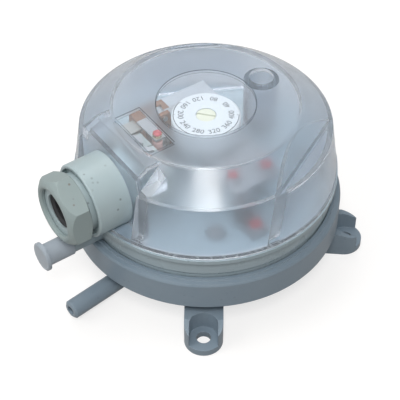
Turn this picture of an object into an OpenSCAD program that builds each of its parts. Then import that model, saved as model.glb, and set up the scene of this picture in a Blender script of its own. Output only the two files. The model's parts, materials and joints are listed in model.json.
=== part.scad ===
// Differential pressure switch for air, lying on its back face.
// Lower body, upper body and diaphragm, a setting knob over the range spring, a snap switch
// worked by a tappet and lever, screw terminals, and a clear cover that carries the cable gland.
// Origin on the switch's axis at the back face. +X points between the two fixing lugs,
// the P1 pipe points to -Y, and the upper half is turned a little about +Z.

/* [Lower body] */
// Diameter of the ring round the body
ring_d = 85; // [78:0.5:95]
// Height of the ring's lower edge above the back face
ring_z = 12; // [10:0.5:16]
// Height of the ring
ring_h = 10.9; // [9:0.1:14]
// Diameter of the pot below the ring
pot_d = 64; // [60:0.5:68]
// Wall of the lower body
body_wall = 2; // [1.5:0.1:3]
// Thickness of the flange that carries the upper body
flange_t = 3; // [2:0.1:4]

/* [Fixing lugs] */
// Angle of each lug from the +X axis
lug_angle = 43; // [35:1:60]
// Distance of the screw holes from the axis
lug_hole_at = 45.6; // [44:0.1:50]
// Width of a lug
lug_w = 11.8; // [11:0.1:16]
// Screw hole
lug_hole_d = 4.4; // [3.5:0.1:5]
// Pocket for the screw head
lug_pocket_d = 8.7; // [7:0.1:9.4]
// Thickness of the lug under the screw head
lug_floor = 2.3; // [2:0.1:5]
// Height of a lug at the pot
lug_h = 8.7; // [6:0.1:9.5]

/* [Hose pipes] */
// Outer diameter of both pipes
pipe_d = 6; // [5:0.1:7]
// Bore of both pipes
pipe_bore = 2.8; // [2:0.1:4]
// Height of the P1 pipe's axis
p1_z = 4.8; // [4:0.1:6]
// Distance of the P1 pipe's tip from the axis
p1_reach = 55.5; // [48:0.5:70]
// Height of the P2 pipe's axis above the ring
p2_rise = 2.5; // [2.2:0.1:2.8]
// Distance of the P2 pipe's tip from the axis
p2_reach = 57.8; // [52:0.5:70]
// Outer diameter of the hose cap
cap_d = 6.8; // [6.6:0.1:7.2]
// Length of the hose cap over the pipe
cap_over = 8.6; // [5:0.1:12]
// Diameter of the hose cap's head
cap_head_d = 9; // [8:0.1:11]

/* [Upper body] */
// Turn of the upper half about the axis
upper_turn = -7; // [-20:1:20]
// Height of the upper body above the ring
upper_h = 8.1; // [7:0.1:10]
// Floor of the upper body
floor_t = 2; // [1.5:0.1:3]
// Diameter of the upper body's rim
rim_d = 81.8; // [80:0.2:84]
// Distance of the case screws from the axis
case_screw_at = 29.4; // [28:0.1:30]

/* [Cover] */
// Height of the cover
cover_h = 24.8; // [24:0.2:30]
// Diameter of the flat top
top_d = 57.6; // [54:0.2:62]
// Drop from the flat top to the shoulder
shoulder_drop = 7.6; // [6:0.1:9]
// Diameter at the shoulder
shoulder_d = 76.4; // [74:0.2:78]
// Diameter at the foot
foot_d = 81; // [79:0.2:81.4]
// Wall of the cover
cover_wall = 2; // [1.5:0.1:3]
// Distance of the gland's flat from the axis
gland_flat = 34; // [33:0.1:35.5]
// Width of the upright front that carries the gland
front_w = 30.8; // [30:0.2:34]
// Drop from the flat top to the front's upper edge
front_drop = 2.6; // [1:0.1:4]
// Depth of the slope above the front
front_slope = 4.3; // [2:0.1:6]
// Distance of the side flats from the axis
side_flat = 33.3; // [32.6:0.1:35]
// Angle of the side flats from the cover's +X axis
side_angle = 27; // [20:1:32]
// Lean of the side flats from upright
flat_lean = 30; // [25:1:35]
// Diameter of the round window
window_d = 30; // [24:0.5:32]
// Length of the terminal window
slot_window_l = 18.4; // [14:0.2:20]
// Width of the terminal window
slot_window_w = 8.4; // [6:0.2:9]
// Distance of the cover screw from the axis
cover_screw_at = 20.6; // [19:0.1:21.5]
// Well of the cover screw
well_d = 7.6; // [7:0.1:8.4]

/* [Cable gland] */
// Height of the gland's axis above the cover's foot
gland_rise = 8.9; // [8.8:0.1:11]
// Diameter of the gland's collar
collar_d = 23; // [21:0.2:24]
// Length of the collar outside the cover
collar_l = 11; // [9:0.2:16]
// Width across flats of the compression nut
nut_af = 19.8; // [19.4:0.1:20]
// Opening of the compression nut
nut_bore = 15; // [13:0.2:16]
// Hole through the gland's rubber seal
seal_bore = 9; // [6:0.5:10]

/* [Mechanism] */
// Diameter of the setting dial
dial_d = 21; // [18:0.2:22]
// Gap between the dial and the cover
dial_gap = 4; // [3:0.1:5]
// Diameter of the diaphragm's free part
free_d = 49; // [46:0.5:50]
// Thickness of the diaphragm
skin_t = 0.8; // [0.5:0.1:1.2]
// Diameter of the diaphragm's plate
plate_d = 38; // [34:0.5:40]
// Wire of the range spring
wire_d = 1; // [0.7:0.1:1.3]
// Mean diameter of the range spring
spring_d = 9.2; // [8:0.1:9.4]
// Turns of the range spring
spring_turns = 7; // [5:1:9]
// Length of the snap switch
switch_l = 27.8; // [25:0.2:28]
// Thickness of the snap switch
switch_w = 9.6; // [8:0.2:10.3]
// Height of the snap switch
switch_h = 10.5; // [9:0.1:11]
// Diameter of the tappet
tappet_d = 3.2; // [2.5:0.1:3.6]
// Length of the terminal block
block_l = 19.2; // [18:0.2:20]
// Depth of the terminal block
block_w = 8.8; // [8:0.2:9]
// Height of the terminal block
block_h = 10; // [9:0.2:11]
// Distance between terminal screws
terminal_pitch = 6.3; // [6:0.1:6.5]

/* [Hidden] */
$fn = 96;

// Colours
body_grey = [0.50, 0.56, 0.60];
upper_grey = [0.60, 0.65, 0.68];
gland_grey = [0.78, 0.80, 0.76];
steel = [0.75, 0.76, 0.78];
brass = [0.85, 0.72, 0.40];
white = [0.95, 0.95, 0.93];
brown = [0.55, 0.27, 0.12];
red = [0.78, 0.12, 0.14];
rubber = [0.20, 0.21, 0.22];
silicone = [0.86, 0.84, 0.80];
clear = [0.80, 0.84, 0.92, 0.35];

// Clearances
fit = 0.05;
gap = 0.1;
play = 0.3;

// Heights, from the back face up
ring_top = ring_z + ring_h;
seat_z = ring_z + flange_t;
rim_z = ring_top + upper_h;
floor_z = rim_z - floor_t;
gasket_t = 0.6;
foot_z = rim_z + gasket_t;
top_z = foot_z + cover_h;
shoulder_z = top_z - shoulder_drop;
p2_z = ring_top + p2_rise;
gland_z = foot_z + gland_rise;

// Radii
ring_r = ring_d/2;
pot_r = pot_d/2;
rim_r = rim_d/2;
recess_r = ring_r - 2.8;
skirt_r = recess_r - play;
free_r = free_d/2;
bead_in = free_r + 0.4;
bead_out = bead_in + 2.3;
bead_t = 2;

// Diaphragm, plate and tappet
skin_z = seat_z + bead_t/2 - skin_t/2;
skin_top = skin_z + skin_t;
plate_t = 1.6;
plate_top = skin_top + plate_t;
washer_d = 30;
washer_t = 1.4;
stud_d = 3;
tappet_x = -6;
tappet_y = -13.7;

// Spring, spindle and knob
cup_wall = 1.3;
cup_r = spring_d/2 + wire_d/2 + play;
tower_in = 7.2;
tower_r = tower_in + body_wall;
tower_top = rim_z + 10.3;
cap_t = 2;
bracket_t = 1.4;
bracket_top = tower_top + bracket_t;
journal_d = 7.6;
thread_d = 6;
stub_d = 5;
collar_t = 1.4;
key_w = 2;
seat_t = 2.4;
seat_top = tower_top - cap_t - collar_t - 2.4;
dial_top = top_z - cover_wall - dial_gap;
dial_t = 1.8;
knob_z = bracket_top + 0.6;
hub_d = 9;
knob_screw_d = 2.4;

bracket_y = -7.4;
bracket_w = 16.6;
bracket_step = 25.6;
bracket_foot_w = 6.4;
bracket_screw_l = 6;
foot_screw_l = 5;

// Snap switch, lever and terminals
switch_z = rim_z + 2;
switch_top = switch_z + switch_h;
switch_in = -dial_d/2 - 0.5;
switch_out = switch_in - switch_w;
switch_y0 = -14.5;
switch_y1 = switch_y0 + switch_l;
button_x = switch_in - 2.2;
button_y = -3;
button_d = 2.6;
button_up = 0.8;
lever_t = 0.6;
lever_z = switch_top + button_up;
lever_w = 2.8;
pin_d = 1.6;
pin_y = -8;
pin_z = lever_z + lever_t + pin_d/2 - 0.1;
adjuster_d = 2;
adjuster_tip = lever_z - 1.2;
tappet_top = adjuster_tip - gap;
switch_hole_d = 3.1;
switch_holes = [[switch_y0 + 5.6, switch_z + 3], [switch_y1 - 5.4, switch_z + 3]];
block_y = -21.8;
block_z = rim_z + 4;
block_top = block_z + block_h;
strip_t = 0.8;
strip_w = 5;
strip_x = switch_in - switch_w/2;
strip_zs = [block_z + 6.6, block_z + 4.2, block_z + 1.8];
terminal_screw_d = 3.4;

// Case screws, cover screw and bracket screws, in the upper half's frame
case_screw_angles = [-30, 60, 150, 240];
case_screw_d = 3;
case_screw_l = 24;
case_head_d = 5.6;
case_head_t = 2;
cover_post_h = 5;
cover_screw_d = 3.4;
well_wall = 1.6;
post_points = [[21.7, 6.1], [19.7, -4.4]];
bracket_foot = [31, -4.5];
bracket_screw_d = 2.6;
bracket_head_d = 4.6;
bracket_head_t = 1.6;

// Blocks that cut reach past the whole switch
far = ring_d;

// Cover: lean of the front's two sides above the shoulder, per mm of height, and the web behind them
front_lean = 0.22;
front_back = 8.5;

// Gland
neck_r = 9;
gland_thread_r = 7;
gland_bore_r = 5.4;
gland_seat = gland_flat - cover_wall - 1;
gland_back = gland_seat - 4;
collar_end = gland_flat + collar_l;
neck_end = collar_end + 6.5;
nut_back = collar_end + 1.5;
nut_front = collar_end + 8.7;
seal_back = collar_end + 0.4;
locknut_af = 15.6;
locknut_t = 3;

// Puts its children in the frame of the upper half
module turned() { rotate([0, 0, upper_turn]) children(); }

// Lays an upright thing along -Y, so that its height runs away from the switch's axis
module outward(z) { translate([0, 0, z]) rotate([90, 0, 0]) children(); }

// Hose pipe along its own +Z, from inside the body to its bevelled tip
module hose_pipe(start, reach) {
    rotate_extrude() polygon([[0, start], [pipe_d/2, start], [pipe_d/2, reach - 0.6],
        [pipe_d/2 - 0.7, reach], [0, reach]]);
}

// Ring of two radii
module ring(r_out, r_in, h) {
    difference() {
        cylinder(r = r_out, h = h);
        translate([0, 0, -1]) cylinder(r = r_in, h = h + 2);
    }
}

// Slot across a screw head, as a block to cut
module driver_slot(d, w, depth) { translate([-d, -w/2, -depth]) cube([2*d, w, depth + 1]); }

// Crossed recess of a screw head, as a block to cut
module cross_slot(size, w, depth) {
    for (a = [0, 90]) rotate([0, 0, a]) translate([-size/2, -w/2, -depth]) cube([size, w, depth + 1]);
}

// Pan-headed screw, its head's underside at z = 0 and its shank below
module pan_screw(d, l, head_d, head_t) {
    difference() {
        rotate_extrude($fn = 48) polygon([[0, -l], [d/2 - 0.4, -l], [d/2, -l + 0.6], [d/2, 0],
            [head_d/2, 0], [head_d/2, head_t*0.55], [head_d/2 - 0.45, head_t*0.9],
            [head_d/2 - 1, head_t], [0, head_t]]);
        translate([0, 0, head_t]) cross_slot(head_d*0.6, head_d*0.16, head_t*0.55);
    }
}

// One fixing lug along +X, with its screw hole and head pocket still solid
module lug() {
    tip = lug_hole_at - 0.7;
    difference() {
        linear_extrude(height = lug_h) union() {
            translate([pot_r - 4, -lug_w/2]) square([tip - pot_r + 4, lug_w]);
            translate([tip, 0]) circle(d = lug_w);
        }
        // Arms fall a little towards the tip
        translate([lug_hole_at - 1.6, 0, lug_h]) rotate([0, 21, 0])
            translate([0, -lug_w, 0]) cube([2*lug_w, 2*lug_w, lug_h]);
    }
}

// Screw hole, head pocket and the pocket's open front, to cut from a lug along +X
module lug_cuts() {
    translate([lug_hole_at, 0, -1]) cylinder(d = lug_hole_d, h = lug_h + 2);
    translate([lug_hole_at, 0, lug_floor]) cylinder(d = lug_pocket_d, h = lug_h);
    translate([lug_hole_at, -lug_pocket_d/2, lug_floor]) cube([lug_w, lug_pocket_d, lug_h]);
}

module lower_body() {
    boss_r = case_screw_d/2 + 1.1;
    color(body_grey) difference() {
        union() {
            rotate_extrude() polygon([[0, 0], [pot_r - 0.8, 0], [pot_r, 0.8], [pot_r, ring_z],
                [ring_r - 0.7, ring_z], [ring_r, ring_z + 0.7], [ring_r, ring_top - 1.3],
                [ring_r - 0.4, ring_top - 0.7], [ring_r - 1.6, ring_top - 0.4],
                [ring_r - 1.8, ring_top], [recess_r, ring_top], [recess_r, seat_z],
                [free_r, seat_z], [free_r, ring_z + 0.5], [pot_r - body_wall - 1.7, ring_z + 0.5],
                [pot_r - body_wall - 1.7, body_wall + 1], [pot_r - body_wall - 2.7, body_wall],
                [0, body_wall]]);
            turned() intersection() {
                for (a = case_screw_angles) rotate([0, 0, a])
                    translate([case_screw_at, 0, 0]) cylinder(r = boss_r, h = seat_z - 0.5);
                cylinder(r = pot_r - 0.2, h = seat_z);
            }
            // Stop that the diaphragm's washer rests on, open for the air
            difference() {
                translate([0, 0, body_wall - 0.5]) ring(washer_d/2 - 1.5, washer_d/2 - 3.3,
                    skin_z - washer_t - body_wall + 0.5);
                for (a = [45 : 90 : 315]) rotate([0, 0, a]) translate([0, -2, 0])
                    cube([washer_d, 4, skin_z]);
            }
            for (a = [-lug_angle, lug_angle]) rotate([0, 0, a]) difference() {
                lug();
                translate([0, 0, -1]) cylinder(r = pot_r - 1, h = lug_h + 2);
            }
            outward(p1_z) hose_pipe(pot_r - 1, p1_reach);
        }
        for (a = [-lug_angle, lug_angle]) rotate([0, 0, a]) lug_cuts();
        outward(p1_z) translate([0, 0, pot_r - body_wall - 4]) cylinder(d = pipe_bore, h = p1_reach);
        // Trough in the ring's edge for the P2 pipe
        turned() outward(p2_z) translate([0, 0, recess_r - 1]) cylinder(d = pipe_d + play, h = 6);
        turned() for (a = case_screw_angles) rotate([0, 0, a]) translate([case_screw_at, 0,
            rim_z - case_screw_l - 1]) cylinder(d = case_screw_d + 2*fit, h = case_screw_l);
    }
}

// Posts, towers and pads that stand on the upper body's floor
module floor_posts() {
    translate([0, 0, floor_z]) cylinder(r = tower_r, h = tower_top - floor_z);
    for (p = post_points) translate([p[0], p[1], floor_z]) cylinder(r = 2.6, h = tower_top - floor_z);
    translate([bracket_foot[0], bracket_foot[1], floor_z - 4]) cylinder(r = 2.6, h = 5);
    translate([0, cover_screw_at, floor_z]) cylinder(r = 4.2, h = cover_post_h + floor_t);
    translate([tappet_x, tappet_y, floor_z]) cylinder(r = tappet_d/2 + 1.6, h = floor_t + 5);
    // Pads and back wall of the snap switch
    for (y = [switch_y0 + 1, switch_y1 - 8]) translate([switch_out - 1, y, floor_z])
        cube([switch_w + 1, 7, switch_z - floor_z]);
    translate([switch_out - 2.2, switch_y0 + 1, floor_z])
        cube([2.2 - gap, switch_l - 2, switch_z + 6 - floor_z]);
    // Pedestal of the terminal block
    translate([-block_l/2 + 1, block_y - block_w/2 + 1, floor_z])
        cube([block_l - 2, block_w - 2, block_z - floor_z]);
}

module upper_body() {
    color(upper_grey) turned() difference() {
        union() {
            rotate_extrude() polygon([[0, floor_z], [skirt_r - body_wall, floor_z],
                [skirt_r - body_wall, seat_z + gap], [skirt_r, seat_z + gap],
                [skirt_r, ring_top + 1], [rim_r - 1, ring_top + 1.9], [rim_r - 1, rim_z - 1.8],
                [rim_r, rim_z - 1.4], [rim_r, rim_z], [0, rim_z]]);
            // Rib that clamps the diaphragm's bead
            translate([0, 0, seat_z + bead_t]) ring(bead_out, free_r, floor_z - seat_z - bead_t + 1);
            for (a = case_screw_angles) rotate([0, 0, a])
                translate([case_screw_at, 0, seat_z + bead_t + play])
                cylinder(r = 3, h = floor_z - seat_z - bead_t);
            // Thicker floor under the gland's notch
            intersection() {
                cylinder(r = skirt_r - 0.5, h = rim_z - 0.5);
                translate([-9, -skirt_r, floor_z - 1.2]) cube([18, skirt_r - gland_flat + 1.5, 1.7]);
            }
            floor_posts();
            outward(p2_z) hose_pipe(free_r + 1, p2_reach);
        }
        // Space round the range spring, closed by the tower's cap
        translate([0, 0, floor_z - 1]) cylinder(r = tower_in, h = tower_top - cap_t - floor_z + 1);
        for (a = [0, 180]) rotate([0, 0, a]) translate([0, -key_w/2 - fit, floor_z - 1])
            cube([tower_in + 1 + gap, key_w + 2*fit, tower_top - cap_t - floor_z + 1]);
        cylinder(d = journal_d + 2*fit, h = top_z);
        translate([tappet_x, tappet_y, floor_z - 1]) cylinder(d = tappet_d + 2*fit, h = 20);
        outward(p2_z) translate([0, 0, free_r - 1]) cylinder(d = pipe_bore, h = p2_reach);
        for (a = case_screw_angles) rotate([0, 0, a]) translate([case_screw_at, 0, 0])
            cylinder(d = case_screw_d + 2*gap, h = rim_z + 1);
        translate([0, cover_screw_at, floor_z + 0.6]) cylinder(d = cover_screw_d + 2*fit, h = 20);
        for (p = post_points) translate([p[0], p[1], tower_top - 7])
            cylinder(d = bracket_screw_d + 2*fit, h = 20);
        translate([bracket_foot[0], bracket_foot[1], rim_z - 5])
            cylinder(d = bracket_screw_d + 2*fit, h = 20);
        for (h = switch_holes) translate([switch_out - 5, h[0], h[1]]) rotate([0, 90, 0])
            cylinder(d = switch_hole_d - 0.6 + 2*fit, h = 8);
        outward(gland_z) translate([0, 0, gland_flat - 0.2]) cylinder(d = collar_d + 2*play, h = 30);
    }
}

module diaphragm() {
    fold_r = (free_r + plate_d/2)/2;
    fold_h = 1.3;
    color(silicone) rotate_extrude() polygon([[stud_d/2 + fit, skin_z], [fold_r - 1.6, skin_z],
        [fold_r - 0.9, skin_z + 0.9], [fold_r, skin_z + fold_h], [fold_r + 0.9, skin_z + 0.9],
        [fold_r + 1.6, skin_z], [bead_in, skin_z], [bead_in, seat_z], [bead_out, seat_z],
        [bead_out, seat_z + bead_t], [bead_in, seat_z + bead_t], [bead_in, skin_top],
        [fold_r + 1.6, skin_top], [fold_r + 0.7, skin_top + 0.9], [fold_r, skin_top + fold_h],
        [fold_r - 0.7, skin_top + 0.9], [fold_r - 1.6, skin_top], [stud_d/2 + fit, skin_top]]);
}

module diaphragm_washer() {
    color(upper_grey) translate([0, 0, skin_z - washer_t]) difference() {
        cylinder(d = washer_d, h = washer_t);
        translate([0, 0, -1]) cylinder(d = stud_d + 2*fit, h = washer_t + 2);
        for (a = [0 : 60 : 300]) rotate([0, 0, a]) translate([washer_d/3, 0, -1])
            cylinder(d = 4, h = washer_t + 2);
    }
}

module diaphragm_plate() {
    color(white) difference() {
        union() {
            translate([0, 0, skin_top]) cylinder(d = plate_d, h = plate_t);
            translate([0, 0, skin_z - washer_t - 1]) cylinder(d = stud_d, h = washer_t + 3);
            translate([0, 0, skin_z - washer_t - 1]) cylinder(d = stud_d + 1.6, h = 1);
            translate([0, 0, plate_top]) ring(cup_r + cup_wall, cup_r, 2.2);
            for (a = [0 : 30 : 330]) rotate([0, 0, a]) translate([cup_r + cup_wall - 0.4, -0.5, plate_top])
                cube([plate_d/2 - cup_r - cup_wall - 0.8, 1, 0.9]);
            turned() translate([tappet_x, tappet_y, plate_top]) cylinder(d = tappet_d + 2.4, h = 2);
        }
        turned() translate([tappet_x, tappet_y, plate_top]) cylinder(d = tappet_d + 2*fit, h = 5);
    }
}

module tappet() {
    color([0.93, 0.80, 0.78]) turned() translate([tappet_x, tappet_y, plate_top]) rotate_extrude($fn = 48)
        polygon([[0, 0], [tappet_d/2, 0], [tappet_d/2, tappet_top - plate_top - 0.4],
            [tappet_d/2 - 0.4, tappet_top - plate_top], [0, tappet_top - plate_top]]);
}

module tappet_seal() {
    color(rubber) turned() translate([tappet_x, tappet_y, rim_z + 5]) rotate_extrude($fn = 48)
        polygon([[tappet_d/2 + fit, 0], [tappet_d/2 + 1.5, 0], [tappet_d/2 + 1.5, 1],
            [tappet_d/2 + 0.9, 1.4], [tappet_d/2 + 1.2, 1.9], [tappet_d/2 + 0.6, 2.6],
            [tappet_d/2 + fit, 2.6]]);
}

// Coil of round wire: rings of points along a helix, closed at both ends
module coil(r, wire, length, turns, steps, sides) {
    n = turns*steps;
    pts = [for (i = [0 : n], k = [0 : sides - 1])
        let (a = 360*i/steps, q = 360*k/sides, rr = r + wire/2*cos(q),
            flat = min(1, i/steps, (n - i)/steps), rise = (i/steps < 1 ? 0.5*flat*flat :
                (n - i)/steps < 1 ? turns - 1 - 0.5*flat*flat : i/steps - 0.5))
        [rr*cos(a), rr*sin(a), wire/2 + (length - wire)*rise/(turns - 1) + wire/2*sin(q)]];
    sides_f = [for (i = [0 : n - 1], k = [0 : sides - 1])
        [i*sides + k, i*sides + (k + 1)%sides, (i + 1)*sides + (k + 1)%sides, (i + 1)*sides + k]];
    start_f = [[for (k = [0 : sides - 1]) sides - 1 - k]];
    end_f = [[for (k = [0 : sides - 1]) n*sides + k]];
    polyhedron(points = pts, faces = concat(sides_f, start_f, end_f));
}

module range_spring() {
    spring_z = plate_top + fit;
    color(steel) translate([0, 0, spring_z])
        coil(spring_d/2, wire_d, seat_top - seat_t - fit - spring_z, spring_turns, 20, 8);
}

module spring_seat() {
    color(brass) turned() difference() {
        union() {
            translate([0, 0, seat_top - seat_t]) cylinder(r = tower_in - 0.35, h = seat_t);
            translate([-tower_in - 0.8, -key_w/2, seat_top - seat_t])
                cube([2*tower_in + 1.6, key_w, seat_t]);
        }
        cylinder(d = thread_d + 2*fit, h = top_z);
    }
}

module spindle() {
    journal_z = tower_top - cap_t;
    color(brass) difference() {
        rotate_extrude() polygon([[0, seat_top - seat_t - 3], [thread_d/2 - 0.6, seat_top - seat_t - 3],
            [thread_d/2, seat_top - seat_t - 2.4], [thread_d/2, journal_z - collar_t - fit],
            [journal_d/2 + 1.6, journal_z - collar_t - fit], [journal_d/2 + 1.6, journal_z - fit],
            [journal_d/2, journal_z - fit], [journal_d/2, knob_z - 0.3], [stub_d/2, knob_z - 0.3],
            [stub_d/2, dial_top - dial_t - 0.6], [0, dial_top - dial_t - 0.6]]);
        translate([0, 0, dial_top - 9]) cylinder(d = knob_screw_d + 2*fit, h = 10);
    }
}

module spindle_seal() {
    color(rubber) translate([0, 0, bracket_top]) ring(journal_d/2 + 1.4, journal_d/2 + fit, 0.3);
}

module setting_knob() {
    rim = dial_d/2;
    color(white) difference() {
        union() {
            rotate_extrude() polygon([[0, dial_top - dial_t], [rim - 1.3, dial_top - dial_t],
                [rim - 1.3, knob_z], [rim, knob_z], [rim, dial_top - 0.5], [rim - 0.5, dial_top],
                [0, dial_top]]);
            translate([0, 0, knob_z]) cylinder(d = hub_d, h = dial_top - knob_z - 1);
            for (a = [0 : 60 : 300]) rotate([0, 0, a]) translate([hub_d/2 - 0.4, -0.5, knob_z + 0.8])
                cube([rim - hub_d/2 - 0.4, 1, dial_top - knob_z - 2]);
        }
        translate([0, 0, knob_z - 1]) cylinder(d = stub_d + 2*fit, h = dial_top - dial_t - 0.55 - knob_z + 1);
        cylinder(d = knob_screw_d + 2*gap, h = top_z);
        translate([0, 0, dial_top - 1.1]) cylinder(d = 6.2, h = 3);
        // Fine grip grooves round the skirt
        for (a = [0 : 15 : 345]) rotate([0, 0, a]) translate([rim + 0.45, 0, knob_z - 1])
            cylinder(r = 0.7, h = dial_top - knob_z - 0.6, $fn = 16);
    }
}

module knob_screw() {
    color(brass) translate([0, 0, dial_top - 1.1 + fit]) difference() {
        union() {
            cylinder(d = 5.9, h = 0.9);
            translate([0, 0, -5.5]) cylinder(d = knob_screw_d, h = 5.6);
        }
        translate([0, 0, 0.9]) rotate([0, 0, 35]) driver_slot(4, 1, 0.5);
    }
}

// Sheet bracket: a plate on the tower and posts, a step down, and a foot on the floor
module bearing_bracket() {
    color(steel) turned() difference() {
        union() {
            translate([0, 0, tower_top]) linear_extrude(height = bracket_t) union() {
                circle(r = tower_r - 0.6);
                translate([0, bracket_y]) square([bracket_step, bracket_w]);
            }
            translate([bracket_step - bracket_t, bracket_foot[1] - bracket_foot_w/2 + 0.2, rim_z])
                cube([bracket_t, bracket_foot_w, tower_top - rim_z + bracket_t]);
            translate([bracket_step - bracket_t, bracket_foot[1] - bracket_foot_w/2 + 0.2, rim_z])
                cube([bracket_foot[0] - bracket_step + 4.2, bracket_foot_w, bracket_t]);
        }
        cylinder(d = journal_d + 2*fit, h = top_z);
        for (p = post_points) translate([p[0], p[1], 0]) cylinder(d = bracket_screw_d + 2*gap, h = top_z);
        translate([bracket_foot[0], bracket_foot[1], 0]) cylinder(d = bracket_screw_d + 2*gap, h = top_z);
    }
}

module bracket_screws() {
    color(steel) turned() {
        for (p = post_points) translate([p[0], p[1], bracket_top])
            pan_screw(bracket_screw_d, bracket_screw_l, bracket_head_d, bracket_head_t);
        translate([bracket_foot[0], bracket_foot[1], rim_z + bracket_t])
            pan_screw(bracket_screw_d, foot_screw_l, bracket_head_d, bracket_head_t);
    }
}

// Drops of locking lacquer over the bracket screws' heads
module seal_drops() {
    module drop(r) rotate_extrude($fn = 32) polygon([[0, 0], [r, 0], [r*0.92, 0.5], [r*0.6, 1],
        [r*0.3, 1.2], [0, 1.25]]);
    color(red) turned() {
        for (p = post_points) translate([p[0], p[1], bracket_top + bracket_head_t]) drop(1.7);
        translate([bracket_foot[0], bracket_foot[1], rim_z + bracket_t + bracket_head_t]) drop(2);
    }
}

module switch_case() {
    ear_t = 1.4;
    ear_h = pin_z - switch_top + pin_d/2 + 0.9;
    eye_gap = lever_w/2 + 0.2;
    color(brown) turned() difference() {
        union() {
            translate([switch_out, switch_y0, switch_z]) cube([switch_w, switch_l, switch_h]);
            for (s = [-1, 1]) translate([button_x + s*(eye_gap + ear_t/2) - ear_t/2, pin_y - 1.8,
                switch_top - 0.5]) cube([ear_t, 3.6, ear_h + 0.5]);
        }
        // Parting groove between base and lid
        translate([switch_in - 2.6, switch_y0 - 1, switch_z - 1])
            cube([0.3, 1.3, switch_h + 2]);
        translate([switch_in - 2.6, switch_y1 - 0.3, switch_z - 1]) cube([0.3, 1.3, switch_h + 2]);
        for (h = switch_holes) translate([switch_out - 1, h[0], h[1]]) rotate([0, 90, 0])
            cylinder(d = switch_hole_d, h = switch_w + 2);
        translate([button_x, button_y, switch_top - 3]) cylinder(d = button_d + 2*fit, h = 5);
        translate([button_x - 5, pin_y, pin_z]) rotate([0, 90, 0])
            cylinder(d = pin_d + 2*fit, h = 10);
        for (z = strip_zs) translate([strip_x - strip_w/2 - gap, switch_y0 - 1, z - gap])
            cube([strip_w + 2*gap, 1 + 1.6 + gap, strip_t + 2*gap]);
    }
}

module switch_screws() {
    color(steel) turned() for (h = switch_holes) translate([switch_in, h[0], h[1]])
        rotate([0, 90, 0]) pan_screw(switch_hole_d - 0.6, switch_w + 2.9, 4.8, 1.5);
}

module switch_button() {
    top = lever_z - fit;
    color(red) turned() translate([button_x, button_y, 0]) rotate_extrude($fn = 48)
        polygon([[0, switch_top - 3 + button_up], [button_d/2, switch_top - 3 + button_up],
            [button_d/2, top - 0.4], [button_d/2 - 0.3, top - 0.2], [button_d/4, top - 0.08], [0, top]]);
}

// Rocker: the tappet lifts one end, the other end presses the button
module switch_lever() {
    arm_y = tappet_y - 1.8;
    color(steel) turned() difference() {
        union() {
            translate([button_x - lever_w/2, arm_y, lever_z])
                cube([lever_w, button_y + 2.4 - arm_y, lever_t]);
            translate([button_x - lever_w/2, arm_y, lever_z])
                cube([tappet_x + 1.9 - button_x + lever_w/2, 3.6, lever_t]);
            translate([button_x - lever_w/2, pin_y, pin_z]) rotate([0, 90, 0])
                cylinder(r = pin_d/2 + 0.8, h = lever_w, $fn = 48);
        }
        translate([button_x - lever_w, pin_y, pin_z]) rotate([0, 90, 0])
            cylinder(d = pin_d + 2*fit, h = 2*lever_w);
        translate([tappet_x, tappet_y, lever_z - 1]) cylinder(d = adjuster_d + fit, h = lever_t + 2);
    }
}

// Screw that sets the gap between lever and tappet
module adjusting_screw() {
    color(brass) turned() translate([tappet_x, tappet_y, 0]) rotate_extrude($fn = 48)
        polygon([[0, adjuster_tip], [0.5, adjuster_tip], [adjuster_d/2, adjuster_tip + 0.3],
            [adjuster_d/2, lever_z + lever_t], [1.5, lever_z + lever_t],
            [1.5, lever_z + lever_t + 0.7], [0, lever_z + lever_t + 0.7]]);
}

// Locking lacquer on the adjusting screw
module adjuster_seal() {
    color(red) turned() translate([tappet_x, tappet_y, lever_z + lever_t + 0.7])
        rotate_extrude($fn = 32) polygon([[0, 0], [1.4, 0], [1.3, 0.35], [0.8, 0.7], [0, 0.8]]);
}

module lever_pin() {
    color(steel) turned() translate([button_x - 3.4, pin_y, pin_z]) rotate([0, 90, 0])
        cylinder(d = pin_d, h = 6.8, $fn = 48);
}

// Screw positions along the terminal block
function terminal_x(i) = (i - 1)*terminal_pitch;

module terminal_block() {
    color([0.90, 0.92, 0.92]) turned() difference() {
        translate([-block_l/2, block_y - block_w/2, block_z]) cube([block_l, block_w, block_h]);
        for (i = [0 : 2]) {
            translate([terminal_x(i), block_y, block_z + 0.6])
                cylinder(d = terminal_screw_d + 2*fit, h = block_h);
            translate([-block_l/2 - 1, block_y - strip_w/2 - gap, strip_zs[i] - gap])
                cube([block_l/2 + 1 + terminal_x(i) + 2.4 + gap, strip_w + 2*gap, strip_t + 2*gap]);
            // Wire entry towards the gland
            translate([terminal_x(i) - 1.9, block_y - block_w/2 - 1, strip_zs[i] + strip_t])
                cube([3.8, block_w/2 + 1, 2]);
        }
        // Gaps between the three chambers
        for (s = [-1, 1]) translate([s*terminal_pitch/2 - 0.3, block_y - block_w, block_top - 1.2])
            cube([0.6, 2*block_w, 2]);
    }
}

// Contact strip of terminal i: a leg from the snap switch, and a leg along the block
module contact_strip(i) {
    y_end = block_y - strip_w/2;
    color(brass) turned() translate([0, 0, strip_zs[i]]) linear_extrude(height = strip_t) union() {
        translate([strip_x - strip_w/2, y_end]) square([strip_w, switch_y0 + 1.6 - y_end]);
        translate([strip_x - strip_w/2, y_end])
            square([terminal_x(i) + 2.4 - strip_x + strip_w/2, strip_w]);
    }
}

module terminal_screw(i) {
    foot = strip_zs[i] + strip_t + fit;
    color(steel) turned() translate([terminal_x(i), block_y, 0]) difference() {
        union() {
            translate([0, 0, foot]) cylinder(d = terminal_screw_d, h = block_top - foot + 0.5);
            translate([0, 0, block_top + fit]) cylinder(d = 5.4, h = 1.5);
        }
        translate([0, 0, block_top + fit + 1.5]) rotate([0, 0, 20 + 50*i]) driver_slot(4, 0.9, 0.9);
    }
}

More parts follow.
